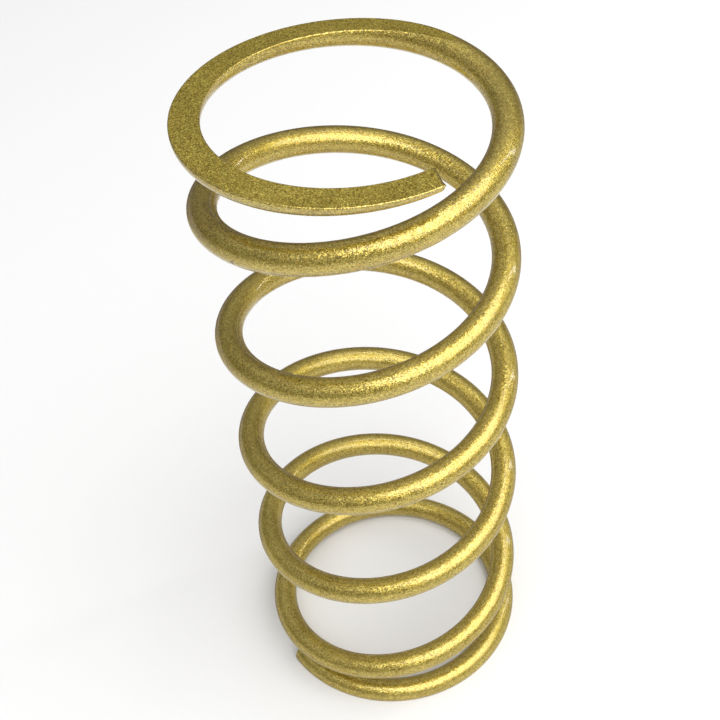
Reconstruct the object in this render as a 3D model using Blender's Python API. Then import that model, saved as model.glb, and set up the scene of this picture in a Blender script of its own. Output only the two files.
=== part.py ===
"""Helical compression spring with closed and ground ends, in painted steel wire.

The real spring is one length of wire. Here the wire is divided into short rigid arcs, so that it can
shorten: each arc is a solid of its own that slides along the coil's axis. The first and the last
turn are the two end coils, whose outer sides are ground flat so that the spring stands square.

Frame: the coil's axis is Z, the lower ground face lies on Z = 0 and +Z points to the upper one.
A place along the wire is given in turns, counted down the coil from the upper tip. The coil is
right-hand wound, so seen from above the wire goes round clockwise as it goes down.
"""

import math

import bmesh
import bpy
from mathutils import Matrix, Vector

# Driving sizes: metres, turns of the wire and degrees.
WIRE_DIAMETER = 0.005
MEAN_DIAMETER = 0.050
FREE_LENGTH = 0.1338
TOTAL_TURNS = 6.25
UPPER_TIP_AZIMUTH = -60.5

# How each end closes: the tip's thickness after grinding, the rise per turn of the closed wire, and
# the turns from the tip between which the rise grows to the full pitch.
UPPER_TIP_THICKNESS = 0.002
UPPER_CLOSED_PITCH = 0.0025
UPPER_OPENING_STARTS = 0.225
UPPER_OPENING_ENDS = 1.375
LOWER_TIP_THICKNESS = 0.0029
LOWER_CLOSED_PITCH = 0.00175
LOWER_OPENING_STARTS = 0.435
LOWER_OPENING_ENDS = 1.245

# The upper ground face is a little out of square, in degrees: its tilt, and the azimuth that it falls
# towards. The free length is that of its highest place.
UPPER_FACE_TILT = 1.16
UPPER_FACE_FALLS_TOWARDS = 51.0

# The least gap between each tip and the coil beside it.
TIP_CLEARANCE = 0.0003

# How the wire is divided.
ARCS_PER_TURN = 8
END_COIL_TURNS = 1.0
ARC_CLEARANCE = 0.0003
STEPS_PER_ARC = 5
WIRE_SIDES = 12

# Smoothing and merging of the meshes.
SHARP_ANGLE = 40.0
MERGE_DISTANCE = 0.00001

# Gold metallic paint.
PAINT_COLOUR = (0.42, 0.31, 0.07, 1.0)
PAINT_METALLIC = 0.8
PAINT_ROUGHNESS = 0.38

WIRE_RADIUS = WIRE_DIAMETER / 2
MEAN_RADIUS = MEAN_DIAMETER / 2


def opened(turns, start, end):
    """Return how many turns' worth of full pitch the wire has opened after some turns from its tip.

    The share of the full pitch eases in from 0 at start to 1 at end as 3u^2 - 2u^3, and this is
    its integral.
    """
    ease = end - start
    share = (turns - start) / ease
    if share <= 0:
        return 0.0
    if share >= 1:
        return ease * (share - 0.5)
    return ease * (share**3 - share**4 / 2)


def closed(turns, start, end):
    """Return how many turns' worth of closed pitch the same wire keeps."""
    return turns - opened(turns, start, end)


def face_height(angle):
    """Return the height of the upper ground face over the wire's centre line at an azimuth."""
    slope = math.tan(math.radians(UPPER_FACE_TILT))
    away = math.cos(angle - math.radians(UPPER_FACE_FALLS_TOWARDS))
    return FREE_LENGTH - MEAN_RADIUS * slope * (1 + away)


UPPER_CLOSED = closed(TOTAL_TURNS, UPPER_OPENING_STARTS, UPPER_OPENING_ENDS)
LOWER_CLOSED = closed(TOTAL_TURNS, LOWER_OPENING_STARTS, LOWER_OPENING_ENDS)
UPPER_TIP_DEPTH = UPPER_TIP_THICKNESS - WIRE_RADIUS
LOWER_TIP_DEPTH = LOWER_TIP_THICKNESS - WIRE_RADIUS
TIP_HEIGHT = face_height(math.radians(UPPER_TIP_AZIMUTH)) - UPPER_TIP_DEPTH
WIRE_DROP = TIP_HEIGHT - LOWER_TIP_DEPTH


def full_pitch(upper_rise, lower_rise):
    """Return the drop per turn of the open wire, given that of the closed wire at each end."""
    closed_drop = upper_rise * UPPER_CLOSED + lower_rise * LOWER_CLOSED
    return (WIRE_DROP - closed_drop) / (TOTAL_TURNS - UPPER_CLOSED - LOWER_CLOSED)


def closed_rise(named, pitch, start, end):
    """Return the named drop per turn of the closed wire, or the least that clears the wire's tip."""
    needed = WIRE_DIAMETER + TIP_CLEARANCE - pitch * opened(1.0, start, end)
    return max(named, needed / closed(1.0, start, end))


NAMED_PITCH = full_pitch(UPPER_CLOSED_PITCH, LOWER_CLOSED_PITCH)
UPPER_RISE = closed_rise(
    UPPER_CLOSED_PITCH, NAMED_PITCH, UPPER_OPENING_STARTS, UPPER_OPENING_ENDS
)
LOWER_RISE = closed_rise(
    LOWER_CLOSED_PITCH, NAMED_PITCH, LOWER_OPENING_STARTS, LOWER_OPENING_ENDS
)
PITCH = full_pitch(UPPER_RISE, LOWER_RISE)


def wire_height(turns):
    """Return the height of the wire's centre at a place along it."""
    from_upper = closed(turns, UPPER_OPENING_STARTS, UPPER_OPENING_ENDS)
    to_lower = closed(TOTAL_TURNS - turns, LOWER_OPENING_STARTS, LOWER_OPENING_ENDS)
    drop = (
        PITCH * turns
        - (PITCH - UPPER_RISE) * from_upper
        - (PITCH - LOWER_RISE) * (LOWER_CLOSED - to_lower)
    )
    return TIP_HEIGHT - drop


def wire_slope(turns):
    """Return the tangent of the wire's helix angle at a place along it."""
    step = 0.001
    rise = wire_height(turns - step) - wire_height(turns + step)
    return rise / (2 * step * math.tau * MEAN_RADIUS)


def azimuth(turns):
    """Return the angle round the Z axis, in radians, of a place along the wire."""
    return math.radians(UPPER_TIP_AZIMUTH) - math.tau * turns


def section(turns, middle):
    """Return the points where the wire crosses the upright plane through the axis at a place.

    They are in the frame of an arc whose middle is given: its origin is on the coil's axis, level
    with the wire's centre there, and its X axis points at the wire. The wire leans by its helix
    angle, so its round section is a little taller than wide in the upright plane.
    """
    lean = math.hypot(1.0, wire_slope(turns))
    turn = Matrix.Rotation(azimuth(turns) - azimuth(middle), 4, "Z")
    level = wire_height(turns) - wire_height(middle)
    points = []
    for side in range(WIRE_SIDES):
        angle = math.tau * side / WIRE_SIDES
        out = MEAN_RADIUS + WIRE_RADIUS * math.cos(angle)
        up = level + WIRE_RADIUS * lean * math.sin(angle)
        points.append(turn @ Vector((out, 0.0, up)))
    return points


def sweep_wire(mesh, first, last, middle):
    """Sweep the wire's section from one place to another and close both ends."""
    rings = []
    for step in range(STEPS_PER_ARC + 1):
        turns = first + (last - first) * step / STEPS_PER_ARC
        rings.append([mesh.verts.new(point) for point in section(turns, middle)])
    edges = []
    for ring in rings:
        for side in range(WIRE_SIDES):
            edges.append(mesh.edges.new((ring[side], ring[(side + 1) % WIRE_SIDES])))
    for step in range(STEPS_PER_ARC):
        start = step * WIRE_SIDES
        bmesh.ops.bridge_loops(mesh, edges=edges[start : start + 2 * WIRE_SIDES])
    mesh.faces.new(rings[0])
    mesh.faces.new(rings[-1])


def grind(mesh, point, outward):
    """Cut away the wire beyond a plane and close the cut with a flat face.

    The plane is given by a point on it and by the direction that it faces.
    """
    heights = [(vert.co - point).dot(outward) for vert in mesh.verts]
    if max(heights) <= MERGE_DISTANCE:
        return
    cut = bmesh.ops.bisect_plane(
        mesh,
        geom=mesh.verts[:] + mesh.edges[:] + mesh.faces[:],
        dist=MERGE_DISTANCE,
        plane_co=point,
        plane_no=outward,
        clear_outer=True,
    )
    rim = [item for item in cut["geom_cut"] if isinstance(item, bmesh.types.BMEdge)]
    open_rim = [edge for edge in rim if edge.is_boundary]
    bmesh.ops.holes_fill(mesh, edges=open_rim, sides=0)


def grind_ends(mesh, middle):
    """Grind an arc, given its middle, by the planes of both ground faces."""
    level = wire_height(middle)
    tilt = Matrix.Rotation(math.radians(UPPER_FACE_TILT), 4, "Y")
    turn = Matrix.Rotation(math.radians(UPPER_FACE_FALLS_TOWARDS) - azimuth(middle), 4, "Z")
    upper_top = FREE_LENGTH - MEAN_RADIUS * math.tan(math.radians(UPPER_FACE_TILT))
    grind(mesh, Vector((0.0, 0.0, upper_top - level)), turn @ tilt @ Vector((0.0, 0.0, 1.0)))
    grind(mesh, Vector((0.0, 0.0, -level)), Vector((0.0, 0.0, -1.0)))


def paint(name):
    """Return a new gold paint material."""
    material = bpy.data.materials.new(name + "_paint")
    material.use_nodes = True
    shader = material.node_tree.nodes["Principled BSDF"]
    shader.inputs["Base Color"].default_value = PAINT_COLOUR
    shader.inputs["Metallic"].default_value = PAINT_METALLIC
    shader.inputs["Roughness"].default_value = PAINT_ROUGHNESS
    return material


def add_arc(name, first, last, axis):
    """Add one arc of the wire, on the coil's axis, as an object of its own."""
    middle = (first + last) / 2
    half_gap = ARC_CLEARANCE / 2 / (math.tau * MEAN_RADIUS)
    mesh = bmesh.new()
    sweep_wire(mesh, first + half_gap, last - half_gap, middle)
    grind_ends(mesh, middle)
    bmesh.ops.remove_doubles(mesh, verts=mesh.verts[:], dist=MERGE_DISTANCE)
    bmesh.ops.recalc_face_normals(mesh, faces=mesh.faces[:])
    data = bpy.data.meshes.new(name)
    mesh.to_mesh(data)
    mesh.free()
    data.shade_smooth()
    data.set_sharp_from_angle(angle=math.radians(SHARP_ANGLE))
    data.materials.append(paint(name))
    arc = bpy.data.objects.new(name, data)
    bpy.context.scene.collection.objects.link(arc)
    arc.parent = axis
    arc.location = (0.0, 0.0, wire_height(middle))
    arc.rotation_euler = (0.0, 0.0, azimuth(middle))


def add_arcs(name, start, end, axis):
    """Divide the wire between two places into equal arcs, numbered down the coil."""
    count = max(1, round((end - start) * ARCS_PER_TURN))
    length = (end - start) / count
    for number in range(count):
        first = start + number * length
        add_arc(f"{name}_{number + 1:02d}", first, first + length, axis)


def clear_scene():
    """Remove every object, and the meshes and materials that only they used."""
    for item in list(bpy.data.objects):
        bpy.data.objects.remove(item, do_unlink=True)
    for kind in (bpy.data.meshes, bpy.data.materials):
        for item in list(kind):
            if item.users == 0:
                kind.remove(item)


def main():
    """Build the spring from its upper end coil down to its lower one."""
    clear_scene()
    axis = bpy.data.objects.new("coil_axis", None)
    bpy.context.scene.collection.objects.link(axis)
    lower_start = TOTAL_TURNS - END_COIL_TURNS
    add_arcs("top_end_arc", 0.0, END_COIL_TURNS, axis)
    add_arcs("coil_arc", END_COIL_TURNS, lower_start, axis)
    add_arcs("bottom_end_arc", lower_start, TOTAL_TURNS, axis)


main()
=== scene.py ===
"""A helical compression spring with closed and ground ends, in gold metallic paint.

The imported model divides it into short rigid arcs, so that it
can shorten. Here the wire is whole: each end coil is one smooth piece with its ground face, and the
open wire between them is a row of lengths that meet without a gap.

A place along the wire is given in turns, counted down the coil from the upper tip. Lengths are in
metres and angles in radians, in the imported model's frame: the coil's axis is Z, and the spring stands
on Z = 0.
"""

import logging
import math
from collections.abc import Iterable, Sequence
from dataclasses import dataclass, field
from enum import Enum

import bpy
from mathutils import Matrix, Vector


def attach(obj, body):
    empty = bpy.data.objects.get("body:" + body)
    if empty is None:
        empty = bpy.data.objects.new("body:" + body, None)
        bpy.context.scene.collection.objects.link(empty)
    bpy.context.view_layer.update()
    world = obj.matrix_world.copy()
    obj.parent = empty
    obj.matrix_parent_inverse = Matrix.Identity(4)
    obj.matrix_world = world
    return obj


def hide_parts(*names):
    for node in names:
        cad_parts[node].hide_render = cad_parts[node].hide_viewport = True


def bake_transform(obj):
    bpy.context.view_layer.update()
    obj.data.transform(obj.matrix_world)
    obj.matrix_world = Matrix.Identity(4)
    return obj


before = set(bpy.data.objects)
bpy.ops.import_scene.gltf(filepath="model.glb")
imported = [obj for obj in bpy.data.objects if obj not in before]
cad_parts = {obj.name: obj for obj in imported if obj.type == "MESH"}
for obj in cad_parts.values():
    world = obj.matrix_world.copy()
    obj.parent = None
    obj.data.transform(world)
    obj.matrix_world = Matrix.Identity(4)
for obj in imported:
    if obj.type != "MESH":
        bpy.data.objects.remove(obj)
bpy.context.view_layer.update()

LOG = logging.getLogger("spring")
MM = 0.001

LOWER_BODY = "bottom_end_coil"
UPPER_BODY = "top_end_coil"

# The attribute that keeps how far up its section each vertex lies, from -1 to 1.
UPSIDE = "upside"


class End(Enum):
    """Which end of the spring an end coil closes; the value points out of the spring, along Z."""

    UPPER = 1.0
    LOWER = -1.0


# The wire's course


@dataclass(frozen=True)
class Closing:
    """How the coil closes towards one tip.

    The wire drops by closed_pitch per turn at the tip. Between two places, in turns from the tip,
    its drop grows to the full pitch.
    """

    tip_thickness: float
    closed_pitch: float
    opening_starts: float
    opening_ends: float

    def opened(self, turns: float) -> float:
        """Say how many turns' worth of full pitch the wire has opened.

        The share of the full pitch eases in as 3u^2 - 2u^3, and this is its integral.

        Args:
            turns: The place along the wire, counted from this tip.

        Returns:
            The opened part of those turns.
        """
        ease = self.opening_ends - self.opening_starts
        share = (turns - self.opening_starts) / ease
        if share <= 0:
            return 0.0
        if share >= 1:
            return ease * (share - 0.5)
        return ease * (share**3 - share**4 / 2)

    def closed(self, turns: float) -> float:
        """Say how many turns' worth of closed pitch the wire keeps at a place."""
        return turns - self.opened(turns)


@dataclass(frozen=True)
class Coil:
    """The spring's sizes, and the course of the wire's centre line that follows from them."""

    wire_radius: float = 2.5 * MM
    mean_radius: float = 25.0 * MM
    free_length: float = 133.8 * MM
    total_turns: float = 6.25
    end_turns: float = 1.0
    tip_azimuth: float = math.radians(-60.5)
    face_tilt: float = math.radians(1.16)
    face_falls_towards: float = math.radians(51.0)
    upper: Closing = Closing(
        tip_thickness=2.0 * MM, closed_pitch=2.5 * MM, opening_starts=0.225, opening_ends=1.375
    )
    lower: Closing = Closing(
        tip_thickness=2.9 * MM, closed_pitch=1.75 * MM, opening_starts=0.435, opening_ends=1.245
    )

    @property
    def tip_height(self) -> float:
        """Give the height of the wire's centre at the upper tip.

        Returns:
            The height, under a ground face that isn't quite square.
        """
        away = math.cos(self.tip_azimuth - self.face_falls_towards)
        face = self.free_length - self.mean_radius * math.tan(self.face_tilt) * (1 + away)
        return face - self.upper.tip_thickness + self.wire_radius

    @property
    def lower_depth(self) -> float:
        """How far the wire's centre lies above the lower ground face at the tip."""
        return self.lower.tip_thickness - self.wire_radius

    @property
    def pitch(self) -> float:
        """Give the open wire's drop per turn.

        Returns:
            What the closed wire leaves of the whole drop, shared out over the open turns.
        """
        upper_closed = self.upper.closed(self.total_turns)
        lower_closed = self.lower.closed(self.total_turns)
        drop = self.tip_height - self.lower_depth
        drop -= self.upper.closed_pitch * upper_closed + self.lower.closed_pitch * lower_closed
        return drop / (self.total_turns - upper_closed - lower_closed)

    def height(self, turns: float) -> float:
        """Give the height of the wire's centre.

        Args:
            turns: The place along the wire.

        Returns:
            The height over the table.
        """
        pitch = self.pitch
        from_upper = self.upper.closed(turns)
        to_lower = self.lower.closed(self.total_turns - turns)
        lower_closed = self.lower.closed(self.total_turns)
        drop = pitch * turns
        drop -= (pitch - self.upper.closed_pitch) * from_upper
        drop -= (pitch - self.lower.closed_pitch) * (lower_closed - to_lower)
        return self.tip_height - drop

    def slope(self, turns: float) -> float:
        """Give the drop of the wire per length of its circle.

        Args:
            turns: The place along the wire.

        Returns:
            The tangent of the helix angle.
        """
        step = 0.001
        fall = self.height(turns - step) - self.height(turns + step)
        return fall / (2 * step * math.tau * self.mean_radius)

    def lean(self, turns: float) -> float:
        """Say how much taller than wide the leaning wire's upright section is."""
        return math.hypot(1.0, self.slope(turns))

    def azimuth(self, turns: float) -> float:
        """Give the angle round the axis of a place along the wire."""
        return self.tip_azimuth - math.tau * turns

    def outward(self, turns: float) -> Vector:
        """Give the level direction away from the axis at a place along the wire."""
        angle = self.azimuth(turns)
        return Vector((math.cos(angle), math.sin(angle), 0.0))

    def uphill(self, turns: float) -> Vector:
        """Give the level direction along the wire towards the upper tip."""
        angle = self.azimuth(turns)
        return Vector((-math.sin(angle), math.cos(angle), 0.0))

    def surface_point(self, turns: float, side: float) -> Vector:
        """Give a point on the wire's round surface.

        Args:
            turns: The place along the wire.
            side: The angle round the section, from outward over the top.

        Returns:
            The point.
        """
        reach = self.mean_radius + self.wire_radius * math.cos(side)
        up = self.height(turns) + self.wire_radius * self.lean(turns) * math.sin(side)
        return self.outward(turns) * reach + Vector((0.0, 0.0, up))

    def surface_normal(self, turns: float, side: float) -> Vector:
        """Give the direction that the wire's round surface faces.

        Args:
            turns: The place along the wire.
            side: The angle round the section, from outward over the top.

        Returns:
            A unit vector out of the wire.
        """
        out = self.outward(turns)
        reach = self.mean_radius + self.wire_radius * math.cos(side)
        rise = self.slope(turns) * self.mean_radius
        along = self.uphill(turns) * reach + Vector((0.0, 0.0, rise))
        round_it = out * -math.sin(side) + Vector((0.0, 0.0, self.lean(turns) * math.cos(side)))
        return along.cross(round_it).normalized()


# Modelling helpers


def select_only(*objects: bpy.types.Object) -> None:
    """Select these objects and nothing else, and make the first one active.

    Args:
        objects: What to select; without any, nothing stays selected.
    """
    bpy.ops.object.select_all(action="DESELECT")
    for item in objects:
        item.select_set(True)
    bpy.context.view_layer.objects.active = objects[0] if objects else None


def spin_wire(
    name: str, coil: Coil, start: float, end: float, sides: int, steps: int
) -> bpy.types.Object:
    """Spin the wire's round section round the axis, level, from one place to another.

    Each vertex also keeps how far up the section it lies, from -1 at the bottom to 1 at the top.

    Args:
        name: The name of the new object.
        coil: The spring's sizes.
        start: Where the length of wire begins, in turns.
        end: Where it ends, further down the coil.
        sides: How many sides the section has.
        steps: How many steps the spin takes.

    Returns:
        The object: an open tube, its rings of vertices in order from start to end.
    """
    select_only()
    bpy.ops.mesh.primitive_circle_add(
        vertices=sides,
        radius=coil.wire_radius,
        location=coil.outward(start) * coil.mean_radius,
        rotation=(math.pi / 2, 0.0, coil.azimuth(start)),
    )
    wire = bpy.context.object
    wire.name = name
    wire.data.name = name
    bpy.ops.object.transform_apply(location=True, rotation=True, scale=True)
    bpy.ops.object.mode_set(mode="EDIT")
    bpy.ops.mesh.select_all(action="SELECT")
    bpy.ops.mesh.spin(
        steps=steps,
        use_auto_merge=False,
        angle=math.tau * (end - start),
        center=(0.0, 0.0, 0.0),
        axis=(0.0, 0.0, 1.0),
    )
    bpy.ops.object.mode_set(mode="OBJECT")
    upside = wire.data.attributes.new(UPSIDE, "FLOAT", "POINT")
    upside.data.foreach_set("value", [v.co.z / coil.wire_radius for v in wire.data.vertices])
    return wire


def select_vertices(mesh: bpy.types.Mesh, indices: Iterable[int]) -> None:
    """Select these vertices of a mesh and nothing else.

    Args:
        mesh: The mesh, in object mode.
        indices: The vertices.
    """
    for items in (mesh.vertices, mesh.edges, mesh.polygons):
        items.foreach_set("select", [False] * len(items))
    for index in indices:
        mesh.vertices[index].select = True


def close_ends(wire: bpy.types.Object, sides: int) -> None:
    """Close a tube's two open ends and turn every face outwards.

    Args:
        wire: The open tube, its rings of vertices in order.
        sides: How many vertices a ring has.
    """
    select_only(wire)
    count = len(wire.data.vertices)
    bpy.context.tool_settings.mesh_select_mode = (True, False, False)
    for ring in (range(sides), range(count - sides, count)):
        select_vertices(wire.data, ring)
        bpy.ops.object.mode_set(mode="EDIT")
        bpy.ops.mesh.edge_face_add()
        bpy.ops.object.mode_set(mode="OBJECT")
    bpy.ops.object.mode_set(mode="EDIT")
    bpy.ops.mesh.select_all(action="SELECT")
    bpy.ops.mesh.normals_make_consistent(inside=False)
    bpy.ops.mesh.select_all(action="DESELECT")
    bpy.ops.object.mode_set(mode="OBJECT")


# The open wire between the end coils


@dataclass
class OpenWire:
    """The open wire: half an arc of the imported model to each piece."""

    coil: Coil
    paint: bpy.types.Material
    sides: int = 56
    steps: int = 18
    pieces_per_arc: int = 2

    def arc_names(self) -> list[str]:
        """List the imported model's open arcs, in order down the coil."""
        return sorted(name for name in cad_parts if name.startswith("coil_arc_"))

    def shape(self, wire: bpy.types.Object, start: float, end: float) -> None:
        """Lift a level tube onto the wire's course.

        Args:
            wire: The tube from spin_wire.
            start: Where it begins, in turns.
            end: Where it ends.
        """
        for index, vertex in enumerate(wire.data.vertices):
            turns = start + (end - start) * (index // self.sides) / self.steps
            vertex.co.z = self.coil.height(turns) + vertex.co.z * self.coil.lean(turns)

    def shade(self, wire: bpy.types.Object, start: float, end: float) -> None:
        """Give the round surface its exact normals, so that neighbours meet without a seam.

        Args:
            wire: The closed length of wire.
            start: Where it begins, in turns.
            end: Where it ends.
        """
        mesh = wire.data
        mesh.shade_smooth()
        normals = []
        for face in mesh.polygons:
            is_cap = len(face.vertices) == self.sides
            for index in face.vertices:
                if is_cap:
                    normals.append(face.normal.copy())
                    continue
                turns = start + (end - start) * (index // self.sides) / self.steps
                point = mesh.vertices[index].co
                out = self.coil.outward(turns)
                across = point.dot(out) - self.coil.mean_radius
                up = (point.z - self.coil.height(turns)) / self.coil.lean(turns)
                normals.append(self.coil.surface_normal(turns, math.atan2(up, across)))
        mesh.normals_split_custom_set(normals)

    def bend(self, wire: bpy.types.Object, start: float, end: float) -> None:
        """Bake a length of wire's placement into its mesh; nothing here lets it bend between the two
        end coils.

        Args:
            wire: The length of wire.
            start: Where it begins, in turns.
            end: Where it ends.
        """
        middle = (start + end) / 2
        uphill = self.coil.uphill(middle)
        base = Vector((0.0, 0.0, self.coil.height(middle)))
        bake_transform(wire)

    def build(self) -> None:
        """Build every length of the open wire and hide the imported arc that it replaces."""
        names = self.arc_names()
        coil = self.coil
        span = (coil.total_turns - 2 * coil.end_turns) / len(names)
        for number, node in enumerate(names):
            for part in range(self.pieces_per_arc):
                places = tuple(number + (part + side) / self.pieces_per_arc for side in (0, 1))
                start, end = (coil.end_turns + place * span for place in places)
                name = f"open_wire_{number + 1:02d}{'ab'[part]}"
                wire = spin_wire(name, coil, start, end, self.sides, self.steps)
                self.shape(wire, start, end)
                close_ends(wire, self.sides)
                self.shade(wire, start, end)
                wire.data.materials.append(self.paint)
                self.bend(wire, start, end)
                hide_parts(node)
            LOG.info("%s is built as open wire", node)


# The end coils


@dataclass
class EndCoil:
    """One closed end coil, its outer side ground flat, with a rounded edge and a cut tip."""

    coil: Coil
    end: End
    paint: bpy.types.Material
    face_paint: bpy.types.Material
    name: str
    body: str
    nodes: str
    sides: int = 96
    steps: int = 288
    edge_radius: float = 0.22 * MM
    edge_share: float = 0.34
    tip_radius: float = 0.5 * MM
    tip_segments: int = 5
    tip_skew: float = math.radians(15.0)
    skew_turns: float = 0.04
    smooth_angle: float = math.radians(40.0)
    flat_tolerance: float = 0.01 * MM
    flat_alignment: float = 0.9999

    def places(self) -> tuple[float, float]:
        """Give the coil's two ends.

        Returns:
            Where it begins and where it ends, in turns.
        """
        if self.end is End.UPPER:
            return 0.0, self.coil.end_turns
        return self.coil.total_turns - self.coil.end_turns, self.coil.total_turns

    def face(self) -> tuple[Vector, Vector]:
        """Give the plane of the ground face.

        The upper face is a little out of square: the free length is that of its highest place. The
        lower one is level.

        Returns:
            Its point on the coil's axis, and the way it faces.
        """
        coil = self.coil
        if self.end is End.LOWER:
            return Vector((0.0, 0.0, 0.0)), Vector((0.0, 0.0, -1.0))
        top = coil.free_length - coil.mean_radius * math.tan(coil.face_tilt)
        turn = Matrix.Rotation(coil.face_falls_towards, 3, "Z")
        tilt = Matrix.Rotation(coil.face_tilt, 3, "Y")
        return Vector((0.0, 0.0, top)), turn @ tilt @ Vector((0.0, 0.0, 1.0))

    def ground(self, side: float, room: float) -> tuple[float, float]:
        """Place a point of the section where the wire is ground, with a rounded edge.

        Args:
            side: The point's angle round the section, from outward over the ground side.
            room: The height of the ground face over the wire's centre.

        Returns:
            How far out and how far up the point lies from the wire's centre.
        """
        radius = self.coil.wire_radius
        if room >= radius:
            return radius * math.cos(side), radius * math.sin(side)
        edge = self.edge_radius
        turn = math.asin((room - edge) / (radius - edge))
        half = math.pi / 2
        if side < -half:
            side += math.tau
        mirrored = side > half
        side = math.pi - side if mirrored else side
        if side <= turn:
            out, up = radius * math.cos(side), radius * math.sin(side)
        else:
            corner = (radius - edge) * math.cos(turn)
            part = (side - turn) / (half - turn)
            if part < self.edge_share:
                angle = turn + (half - turn) * part / self.edge_share
                out = corner + edge * math.cos(angle)
                up = room - edge + edge * math.sin(angle)
            else:
                out = corner * (1 - part) / (1 - self.edge_share)
                up = room
        return (-out if mirrored else out), up

    def shape(self, wire: bpy.types.Object) -> None:
        """Lift a level tube onto the wire's course, skew its tip and grind it.

        Args:
            wire: The tube from spin_wire.
        """
        start, end = self.places()
        coil = self.coil
        sign = self.end.value
        point, facing = self.face()
        for index, vertex in enumerate(wire.data.vertices):
            turns = start + (end - start) * (index // self.sides) / self.steps
            across = vertex.co.dot(coil.outward(turns)) - coil.mean_radius
            side = math.atan2(vertex.co.z * sign, across)
            turns += self.skewed(turns, across)
            out = coil.outward(turns)
            lean = coil.lean(turns)
            centre = out * coil.mean_radius + Vector((0.0, 0.0, coil.height(turns)))
            slant = math.atan2(facing.dot(out), facing.z * sign)
            room = (point - centre).dot(facing) / lean
            reach, up = self.ground(side + slant, room)
            level_reach = reach * math.cos(slant) + up * math.sin(slant)
            level_up = up * math.cos(slant) - reach * math.sin(slant)
            vertex.co = centre + out * level_reach + Vector((0.0, 0.0, sign * level_up * lean))

    def skewed(self, turns: float, across: float) -> float:
        """Say how far a point moves along the wire, because the tip isn't cut quite square.

        Args:
            turns: The point's place along the wire.
            across: How far out the point lies from the wire's centre.

        Returns:
            The move in turns: the most at the tip, and none where the tip's influence ends.
        """
        from_tip = turns if self.end is End.UPPER else self.coil.total_turns - turns
        fade = max(0.0, 1 - from_tip / self.skew_turns)
        at_tip = across * math.tan(self.tip_skew) / (math.tau * self.coil.mean_radius)
        return self.end.value * at_tip * fade

    def round_tip(self, wire: bpy.types.Object) -> None:
        """Round the edge of the cut tip.

        Args:
            wire: The closed end coil, its rings of vertices in order.
        """
        count = (self.steps + 1) * self.sides
        first = 0 if self.end is End.UPPER else count - self.sides
        select_only(wire)
        select_vertices(wire.data, range(first, first + self.sides))
        bpy.ops.object.mode_set(mode="EDIT")
        bpy.ops.mesh.bevel(offset=self.tip_radius, segments=self.tip_segments, affect="EDGES")
        bpy.ops.mesh.select_all(action="DESELECT")
        bpy.ops.object.mode_set(mode="OBJECT")

    def paint_faces(self, wire: bpy.types.Object) -> None:
        """Give the ground face its own finish.

        Args:
            wire: The end coil.
        """
        wire.data.materials.append(self.paint)
        wire.data.materials.append(self.face_paint)
        point, facing = self.face()
        for face in wire.data.polygons:
            off = abs((face.center - point).dot(facing))
            aligned = face.normal.dot(facing) > self.flat_alignment
            face.material_index = 1 if aligned and off < self.flat_tolerance else 0

    def build(self) -> None:
        """Build the end coil, attach it to its body and hide the arcs that it stands for."""
        start, end = self.places()
        wire = spin_wire(self.name, self.coil, start, end, self.sides, self.steps)
        self.shape(wire)
        close_ends(wire, self.sides)
        self.round_tip(wire)
        self.paint_faces(wire)
        select_only(wire)
        bpy.ops.object.shade_smooth_by_angle(angle=self.smooth_angle)
        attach(wire, self.body)
        replaced = [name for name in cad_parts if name.startswith(self.nodes)]
        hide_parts(*sorted(replaced))
        LOG.info("%s stands for %d arcs", self.name, len(replaced))


# Finishes


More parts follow.
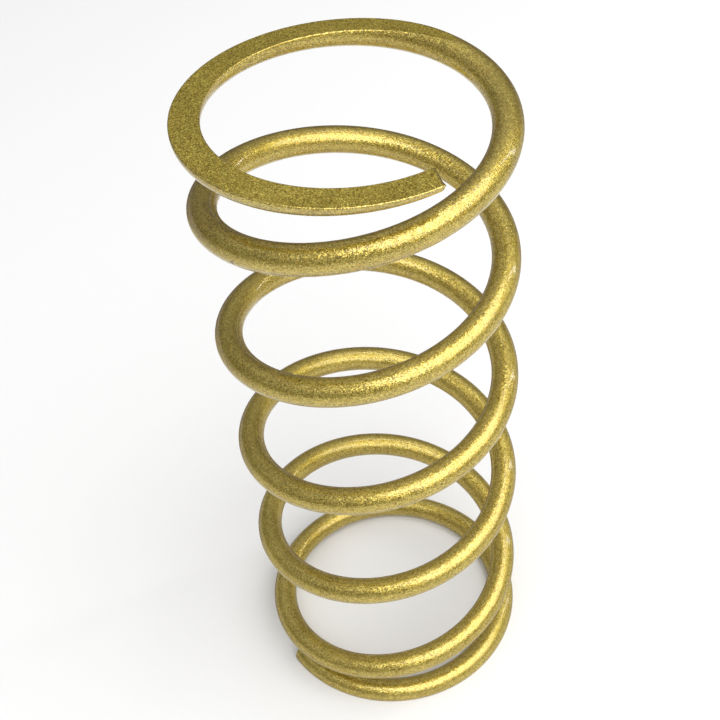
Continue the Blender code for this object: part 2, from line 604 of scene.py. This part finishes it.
class Shader:
    """A material's node tree, with short ways to add and join nodes."""

    def __init__(self, name: str) -> None:
        """Start a new material with one Principled shader.

        Args:
            name: The material's name.
        """
        self.material = bpy.data.materials.new(name)
        self.material.use_nodes = True
        self.tree = self.material.node_tree
        self.surface = self.tree.nodes["Principled BSDF"]

    def add(self, kind: str, **settings: object) -> bpy.types.Node:
        """Add a node and set its properties.

        Args:
            kind: The node's type.
            settings: Its properties.

        Returns:
            The node.
        """
        node = self.tree.nodes.new(kind)
        for key, value in settings.items():
            setattr(node, key, value)
        return node

    def join(self, value: object, socket: bpy.types.NodeSocket) -> None:
        """Link an output to a socket, or set the socket's own value.

        Args:
            value: The output or the value.
            socket: The input socket.
        """
        if isinstance(value, bpy.types.NodeSocket):
            self.tree.links.new(value, socket)
        else:
            socket.default_value = value

    def math(self, operation: str, *values: object) -> bpy.types.NodeSocket:
        """Add a Math node.

        Args:
            operation: What the node works out.
            values: Its inputs in order.

        Returns:
            The result.
        """
        node = self.add("ShaderNodeMath", operation=operation)
        for socket, value in zip(node.inputs, values):
            self.join(value, socket)
        return node.outputs["Value"]

    def vector(self, operation: str, *values: object) -> bpy.types.NodeSocket:
        """Add a Vector Math node.

        Args:
            operation: What the node works out; its result is a vector.
            values: Its inputs in order.

        Returns:
            The result.
        """
        node = self.add("ShaderNodeVectorMath", operation=operation)
        for socket, value in zip(node.inputs, values):
            self.join(value, socket)
        return node.outputs["Vector"]

    def distance(self, first: object, second: object) -> bpy.types.NodeSocket:
        """Measure how far apart two points are.

        Args:
            first: One point.
            second: The other point.

        Returns:
            The distance.
        """
        node = self.add("ShaderNodeVectorMath", operation="DISTANCE")
        self.join(first, node.inputs[0])
        self.join(second, node.inputs[1])
        return node.outputs["Value"]

    def scaled(self, vector: object, factor: float) -> bpy.types.NodeSocket:
        """Scale a vector.

        Args:
            vector: The vector.
            factor: What it is scaled by.

        Returns:
            The scaled vector.
        """
        node = self.add("ShaderNodeVectorMath", operation="SCALE")
        self.join(vector, node.inputs[0])
        self.join(factor, node.inputs["Scale"])
        return node.outputs["Vector"]

    def spread(self, value: object, low: float, high: float, to: tuple) -> bpy.types.NodeSocket:
        """Map a range of values smoothly onto another one.

        Args:
            value: What is mapped.
            low: Where the range begins.
            high: Where it ends.
            to: The results at those two places.

        Returns:
            The result.
        """
        node = self.add("ShaderNodeMapRange", interpolation_type="SMOOTHSTEP")
        for name, item in zip(
            ("Value", "From Min", "From Max", "To Min", "To Max"), (value, low, high, *to)
        ):
            self.join(item, node.inputs[name])
        return node.outputs["Result"]

    def mix(self, factor: object, first: object, second: object) -> bpy.types.NodeSocket:
        """Mix two colours.

        Args:
            factor: The share of the second colour.
            first: One colour.
            second: The other colour.

        Returns:
            The mixed colour.
        """
        node = self.add("ShaderNodeMix", data_type="RGBA")
        self.join(factor, node.inputs["Factor"])
        colours = [socket for socket in node.inputs if socket.type == "RGBA"]
        self.join(first, colours[0])
        self.join(second, colours[1])
        return next(socket for socket in node.outputs if socket.type == "RGBA")

    def millimetres(self) -> bpy.types.NodeSocket:
        """Give the place on the object in millimetres.

        Returns:
            The place, as a vector.
        """
        place = self.add("ShaderNodeTexCoord").outputs["Object"]
        mapping = self.add("ShaderNodeMapping", vector_type="POINT")
        mapping.inputs["Scale"].default_value = (1 / MM, 1 / MM, 1 / MM)
        self.join(place, mapping.inputs["Vector"])
        return mapping.outputs["Vector"]

    def cells(self, place: object, per_mm: float, shift: float = 0.0) -> bpy.types.Node:
        """Add cells, each with a random colour.

        Args:
            place: The place on the object in millimetres.
            per_mm: How many cells a millimetre has.
            shift: How far the pattern is moved, so that two patterns differ.

        Returns:
            The node, whose colour is the cell's.
        """
        node = self.add("ShaderNodeTexVoronoi", voronoi_dimensions="3D", feature="F1")
        where = self.vector("ADD", place, (shift, shift, shift)) if shift else place
        self.join(where, node.inputs["Vector"])
        node.inputs["Scale"].default_value = per_mm
        node.inputs["Randomness"].default_value = 1.0
        return node

    def noise(self, place: object, per_mm: float, detail: float) -> bpy.types.NodeSocket:
        """Add soft noise.

        Args:
            place: The place on the object in millimetres.
            per_mm: How many bumps a millimetre has.
            detail: How many finer layers are added.

        Returns:
            The noise's height, about 0 to 1.
        """
        node = self.add("ShaderNodeTexNoise", noise_dimensions="3D")
        self.join(place, node.inputs["Vector"])
        node.inputs["Scale"].default_value = per_mm
        node.inputs["Detail"].default_value = detail
        return node.outputs["Fac"]


@dataclass(frozen=True)
class Chip:
    """A small dark chip in the paint: its place along and round the wire, and its radius."""

    turns: float
    side: float
    radius: float


@dataclass(frozen=True)
class FlakePaint:
    """Gold paint with two sizes of tilted metal flakes under a thin clear coat.

    Patterns are so many to a millimetre, and a chip's soft edge and raggedness are in millimetres.
    The coat differs between the wire's upper side and its lower one. The tint of the rims is painted
    light:
    a painted dark shade on the upper rims and a painted reflection of the white table on the lower
    ones.
    """

    coil: Coil
    name: str = "gold_flake_paint"
    chips: tuple = (
        Chip(turns=1.206, side=math.radians(-15.0), radius=0.45 * MM),
        Chip(turns=2.160, side=math.radians(86.0), radius=0.26 * MM),
        Chip(turns=3.021, side=math.radians(18.0), radius=0.26 * MM),
    )
    chip_colour: tuple = (0.05, 0.035, 0.02, 1.0)
    shade: tuple = (0.2, 0.138, 0.004, 1.0)
    bright: tuple = (0.74, 0.6, 0.15, 1.0)
    amber: tuple = (0.5, 0.29, 0.03, 1.0)
    # Rim tints: painted dark shade on the upper rims, painted reflection of the white table on the
    # lower rims.
    painted_dark_rim_tint: tuple = (0.12, 0.09, 0.03, 1.0)
    painted_floor_reflection_tint: tuple = (0.9, 0.85, 0.7, 1.0)
    metallic: float = 0.92
    roughness: float = 0.34
    flakes_per_mm: float = 6.0
    fine_per_mm: float = 10.0
    flake_tilt: float = 0.26
    fine_tilt: float = 0.23
    fine_shift: float = 37.3
    drift_per_mm: float = 0.12
    drift_share: float = 0.25
    tone_range: tuple = (0.24, 1.0)
    amber_range: tuple = (0.72, 1.0)
    amber_share: float = 0.8
    side_blend: tuple = (-0.5, 0.5)
    rim_fade: tuple = (0.6, 0.9)
    coat_above: float = 0.6
    coat_below: float = 1.0
    coat_ior: float = 1.65
    coat_roughness: float = 0.13
    orange_peel: float = 0.015
    peel_per_mm: float = 1.1
    peel_depth: float = 0.1 * MM
    chip_edge: float = 0.15
    chip_ragged: float = 0.3
    chip_ragged_per_mm: float = 3.0

    def tilt(self, shader: Shader, cell: bpy.types.Node, amount: float) -> bpy.types.NodeSocket:
        """Tilt each flake its own way.

        Args:
            shader: The material that is being built.
            cell: The flakes, as cells with random colours.
            amount: The range of the tilt.

        Returns:
            What is added to the surface's direction.
        """
        centred = shader.vector("SUBTRACT", cell.outputs["Color"], (0.5, 0.5, 0.5))
        return shader.scaled(centred, amount)

    def flake_colour(
        self, shader: Shader, place: object, coarse: bpy.types.Node, fine: bpy.types.Node
    ) -> bpy.types.NodeSocket:
        """Colour the flakes, with a slow drift between shades along the wire.

        Args:
            shader: The material that is being built.
            place: The place on the object in millimetres.
            coarse: The larger flakes.
            fine: The smaller flakes.

        Returns:
            The flakes' colour.
        """
        parts = shader.add("ShaderNodeSeparateColor")
        shader.join(coarse.outputs["Color"], parts.inputs["Color"])
        fine_parts = shader.add("ShaderNodeSeparateColor")
        shader.join(fine.outputs["Color"], fine_parts.inputs["Color"])
        grain = shader.math("ADD", parts.outputs["Red"], fine_parts.outputs["Green"])
        drift = shader.noise(place, self.drift_per_mm, 1.0)
        drift = shader.math("MULTIPLY", drift, self.drift_share)
        tone = shader.math("ADD", shader.math("MULTIPLY", grain, 0.5), drift)
        level = shader.spread(tone, *self.tone_range, (0.0, 1.0))
        gold = shader.mix(level, self.shade, self.bright)
        warm = shader.spread(parts.outputs["Blue"], *self.amber_range, (0.0, self.amber_share))
        return shader.mix(warm, gold, self.amber)

    def chipped(
        self, shader: Shader, place: object, colour: bpy.types.NodeSocket
    ) -> bpy.types.NodeSocket:
        """Darken the paint where it is chipped.

        Args:
            shader: The material that is being built.
            place: The place on the object in millimetres.
            colour: The paint's colour.

        Returns:
            The colour with the chips.
        """
        ragged = shader.noise(place, self.chip_ragged_per_mm, 1.0)
        ragged = shader.math("MULTIPLY", ragged, self.chip_ragged)
        for chip in self.chips:
            centre = self.coil.surface_point(chip.turns, chip.side) / MM
            radius = chip.radius / MM
            away = shader.math("ADD", shader.distance(place, centre), ragged)
            inside = shader.spread(away, radius, radius + self.chip_edge, (1.0, 0.0))
            colour = shader.mix(inside, colour, self.chip_colour)
        return colour

    def coat(self, shader: Shader, above: bpy.types.NodeSocket) -> bpy.types.NodeSocket:
        """Let the clear coat's gloss fade at the wire's upper rims.

        Args:
            shader: The material that is being built.
            above: 1 where the surface looks up, 0 where it looks down.

        Returns:
            The coat's weight.
        """
        facing = shader.add("ShaderNodeLayerWeight").outputs["Facing"]
        upper = shader.spread(facing, *self.rim_fade, (self.coat_above, 0.0))
        extra = shader.math("SUBTRACT", upper, self.coat_below)
        return shader.math("MULTIPLY_ADD", extra, above, self.coat_below)

    def build(self) -> bpy.types.Material:
        """Build the finish.

        Returns:
            The material.
        """
        shader = Shader(self.name)
        place = shader.millimetres()
        coarse = shader.cells(place, self.flakes_per_mm)
        fine = shader.cells(place, self.fine_per_mm, self.fine_shift)
        surface = shader.surface
        colour = self.chipped(shader, place, self.flake_colour(shader, place, coarse, fine))
        shader.join(colour, surface.inputs["Base Color"])
        surface.inputs["Metallic"].default_value = self.metallic
        surface.inputs["Roughness"].default_value = self.roughness
        upside = shader.add("ShaderNodeAttribute", attribute_name=UPSIDE).outputs["Fac"]
        above = shader.spread(upside, *self.side_blend, (0.0, 1.0))
        # Painted rim tint by side: painted dark shade above, painted reflection of the white table
        # below.
        edge = shader.mix(above, self.painted_floor_reflection_tint, self.painted_dark_rim_tint)
        shader.join(edge, surface.inputs["Specular Tint"])
        shader.join(self.coat(shader, above), surface.inputs["Coat Weight"])
        surface.inputs["Coat IOR"].default_value = self.coat_ior
        surface.inputs["Coat Roughness"].default_value = self.coat_roughness
        peel = shader.noise(place, self.peel_per_mm, 2.0)
        bump = shader.add("ShaderNodeBump")
        bump.inputs["Strength"].default_value = self.orange_peel
        bump.inputs["Distance"].default_value = self.peel_depth
        shader.join(peel, bump.inputs["Height"])
        shader.join(bump.outputs["Normal"], surface.inputs["Coat Normal"])
        tilts = shader.vector(
            "ADD",
            self.tilt(shader, coarse, self.flake_tilt),
            self.tilt(shader, fine, self.fine_tilt),
        )
        turned = shader.vector("ADD", bump.outputs["Normal"], tilts)
        shader.join(shader.vector("NORMALIZE", turned), surface.inputs["Normal"])
        return shader.material


@dataclass(frozen=True)
class TableFinish:
    """The pale matt table."""

    name: str = "white_table"
    colour: tuple = (0.76, 0.76, 0.76, 1.0)

    def build(self) -> bpy.types.Material:
        """Build the finish.

        Returns:
            The material.
        """
        shader = Shader(self.name)
        surface = shader.surface
        surface.inputs["Base Color"].default_value = self.colour
        surface.inputs["Roughness"].default_value = 1.0
        surface.inputs["Specular IOR Level"].default_value = 0.0
        return shader.material


# The studio


@dataclass(frozen=True)
class Softbox:
    """A soft area light that faces the spring."""

    name: str
    azimuth: float
    elevation: float
    distance: float
    width: float
    height: float
    watts: float
    colour: tuple = (1.0, 1.0, 1.0)

    def build(self, target: Vector) -> None:
        """Add the light.

        Args:
            target: The point that it is turned towards.
        """
        level = math.cos(self.elevation)
        away = Vector(
            (level * math.cos(self.azimuth), level * math.sin(self.azimuth), math.sin(self.elevation))
        )
        data = bpy.data.lights.new(self.name, "AREA")
        data.shape = "RECTANGLE"
        data.size = self.width
        data.size_y = self.height
        data.energy = self.watts
        data.color = self.colour
        lamp = bpy.data.objects.new(self.name, data)
        lamp.location = target + away * self.distance
        lamp.rotation_euler = away.to_track_quat("Z", "Y").to_euler()
        bpy.context.scene.collection.objects.link(lamp)


@dataclass
class Studio:
    """The camera, the table and the light."""

    coil: Coil
    elevation: float = math.radians(46.4)
    distance: float = 224.75 * MM
    aim_height: float = 66.5 * MM
    yaw: float = math.radians(0.535)
    pitch: float = math.radians(2.05)
    roll: float = math.radians(-5.70)
    lens: float = 57.8
    sensor_width: float = 36.0
    clip_start: float = 0.01
    table_size: float = 4.0
    table_gap: float = 0.02 * MM
    sky_starts: float = 0.1
    zenith: float = 0.7
    horizon: float = 0.25
    softboxes: Sequence[Softbox] = field(default_factory=tuple)

    def add_camera(self) -> None:
        """Add the camera, which looks down at the spring from close by."""
        rise, level = math.sin(self.elevation), math.cos(self.elevation)
        back = Vector((0.0, -level, rise))
        axes = Matrix((Vector((1.0, 0.0, 0.0)), Vector((0.0, rise, level)), back)).transposed()
        turn = axes @ Matrix.Rotation(self.yaw, 3, "Y")
        turn = turn @ Matrix.Rotation(self.pitch, 3, "X") @ Matrix.Rotation(self.roll, 3, "Z")
        data = bpy.data.cameras.new("camera")
        data.lens = self.lens
        data.sensor_width = self.sensor_width
        data.clip_start = self.clip_start
        camera = bpy.data.objects.new("camera", data)
        camera.location = back * self.distance + Vector((0.0, 0.0, self.aim_height))
        camera.rotation_euler = turn.to_euler()
        bpy.context.scene.collection.objects.link(camera)
        bpy.context.scene.camera = camera

    def add_table(self) -> None:
        """Add the white table that the spring stands on."""
        select_only()
        bpy.ops.mesh.primitive_plane_add(size=self.table_size, location=(0.0, 0.0, -self.table_gap))
        table = bpy.context.object
        table.name = "table"
        table.data.materials.append(TableFinish().build())
        bpy.ops.object.transform_apply(location=True, rotation=True, scale=True)

    def add_sky(self) -> None:
        """Fill the room with soft light, dimmer towards the horizon."""
        world = bpy.data.worlds.new("room")
        world.use_nodes = True
        tree = world.node_tree
        place = tree.nodes.new("ShaderNodeTexCoord")
        parts = tree.nodes.new("ShaderNodeSeparateXYZ")
        level = tree.nodes.new("ShaderNodeMapRange")
        level.interpolation_type = "SMOOTHSTEP"
        level.inputs["From Min"].default_value = self.sky_starts
        level.inputs["To Min"].default_value = self.horizon
        level.inputs["To Max"].default_value = self.zenith
        background = tree.nodes["Background"]
        background.inputs["Color"].default_value = (1.0, 1.0, 1.0, 1.0)
        tree.links.new(place.outputs["Generated"], parts.inputs["Vector"])
        tree.links.new(parts.outputs["Z"], level.inputs["Value"])
        tree.links.new(level.outputs["Result"], background.inputs["Strength"])
        bpy.context.scene.world = world
        bpy.context.scene.view_settings.view_transform = "Standard"

    def build(self) -> None:
        """Set up the studio."""
        self.add_camera()
        self.add_table()
        self.add_sky()
        middle = Vector((0.0, 0.0, self.coil.free_length / 2))
        for softbox in self.softboxes:
            softbox.build(middle)
        LOG.info("studio: %d softboxes", len(self.softboxes))


def main() -> None:
    """Build the spring and its studio."""
    logging.basicConfig(level=logging.INFO, format="%(name)s: %(message)s")
    coil = Coil()
    paint = FlakePaint(coil).build()
    face_paint = FlakePaint(
        coil,
        name="gold_flake_paint_on_ground_face",
        chips=(),
        shade=(0.2, 0.135, 0.004, 1.0),
        bright=(0.9, 0.74, 0.16, 1.0),
        flake_tilt=0.34,
        fine_tilt=0.3,
        coat_above=0.3,
    ).build()
    EndCoil(
        coil,
        End.UPPER,
        paint,
        face_paint,
        name="upper_end_coil",
        body=UPPER_BODY,
        nodes="top_end_arc_",
    ).build()
    EndCoil(
        coil,
        End.LOWER,
        paint,
        face_paint,
        name="lower_end_coil",
        body=LOWER_BODY,
        nodes="bottom_end_arc_",
    ).build()
    OpenWire(coil, paint).build()
    softboxes = (
        Softbox(
            "window",
            azimuth=math.radians(-46),
            elevation=math.radians(58),
            distance=1.2,
            width=1.6,
            height=1.6,
            watts=23.0,
        ),
        Softbox(
            "strip",
            azimuth=math.radians(20),
            elevation=math.radians(25),
            distance=1.2,
            width=0.04,
            height=0.9,
            watts=1.5,
        ),
    )
    Studio(coil, softboxes=softboxes).build()


if __name__ == "__main__":
    main()
